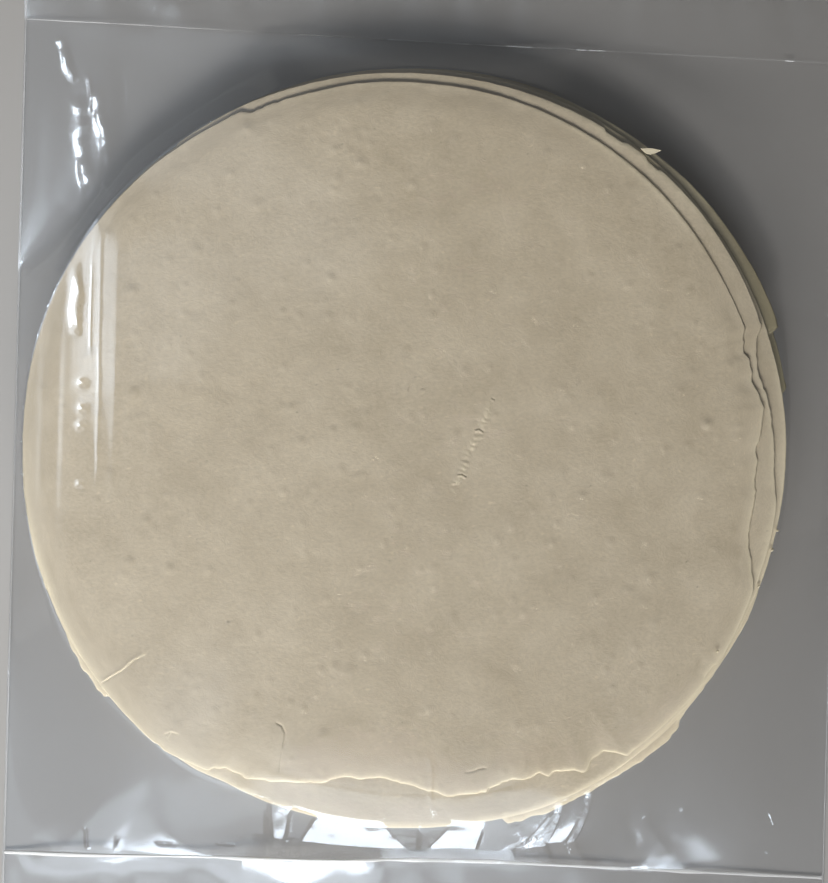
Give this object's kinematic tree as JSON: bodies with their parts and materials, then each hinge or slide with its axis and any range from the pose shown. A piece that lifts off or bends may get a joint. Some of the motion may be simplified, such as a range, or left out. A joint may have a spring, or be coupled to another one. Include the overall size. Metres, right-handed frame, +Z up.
{
  "type": "stack of papadums",
  "caption": "Thin round raw papadums stacked slightly askew, some with broken rims, lying in a flat clear film pouch welded at both ends.",
  "frame": {"origin": "middle of the pouch's underside", "axes": "+Z up through the stack, +Y along the pouch towards one welded flap, +X across it"},
  "size_m": [0.2, 0.224, 0.0131],
  "materials": {
    "papadum": "matte",
    "film": "gloss"
  },
  "bodies": {
    "root": {"papadum_01": "papadum", "papadum_02": "papadum", "papadum_03": "papadum", "papadum_04": "papadum", "papadum_05": "papadum", "papadum_06": "papadum", "papadum_07": "papadum", "papadum_08": "papadum", "papadum_09": "papadum", "papadum_10": "papadum", "papadum_11": "papadum", "papadum_12": "papadum", "film_lower": "film", "film_upper": "film"}
  },
  "joints": []
}
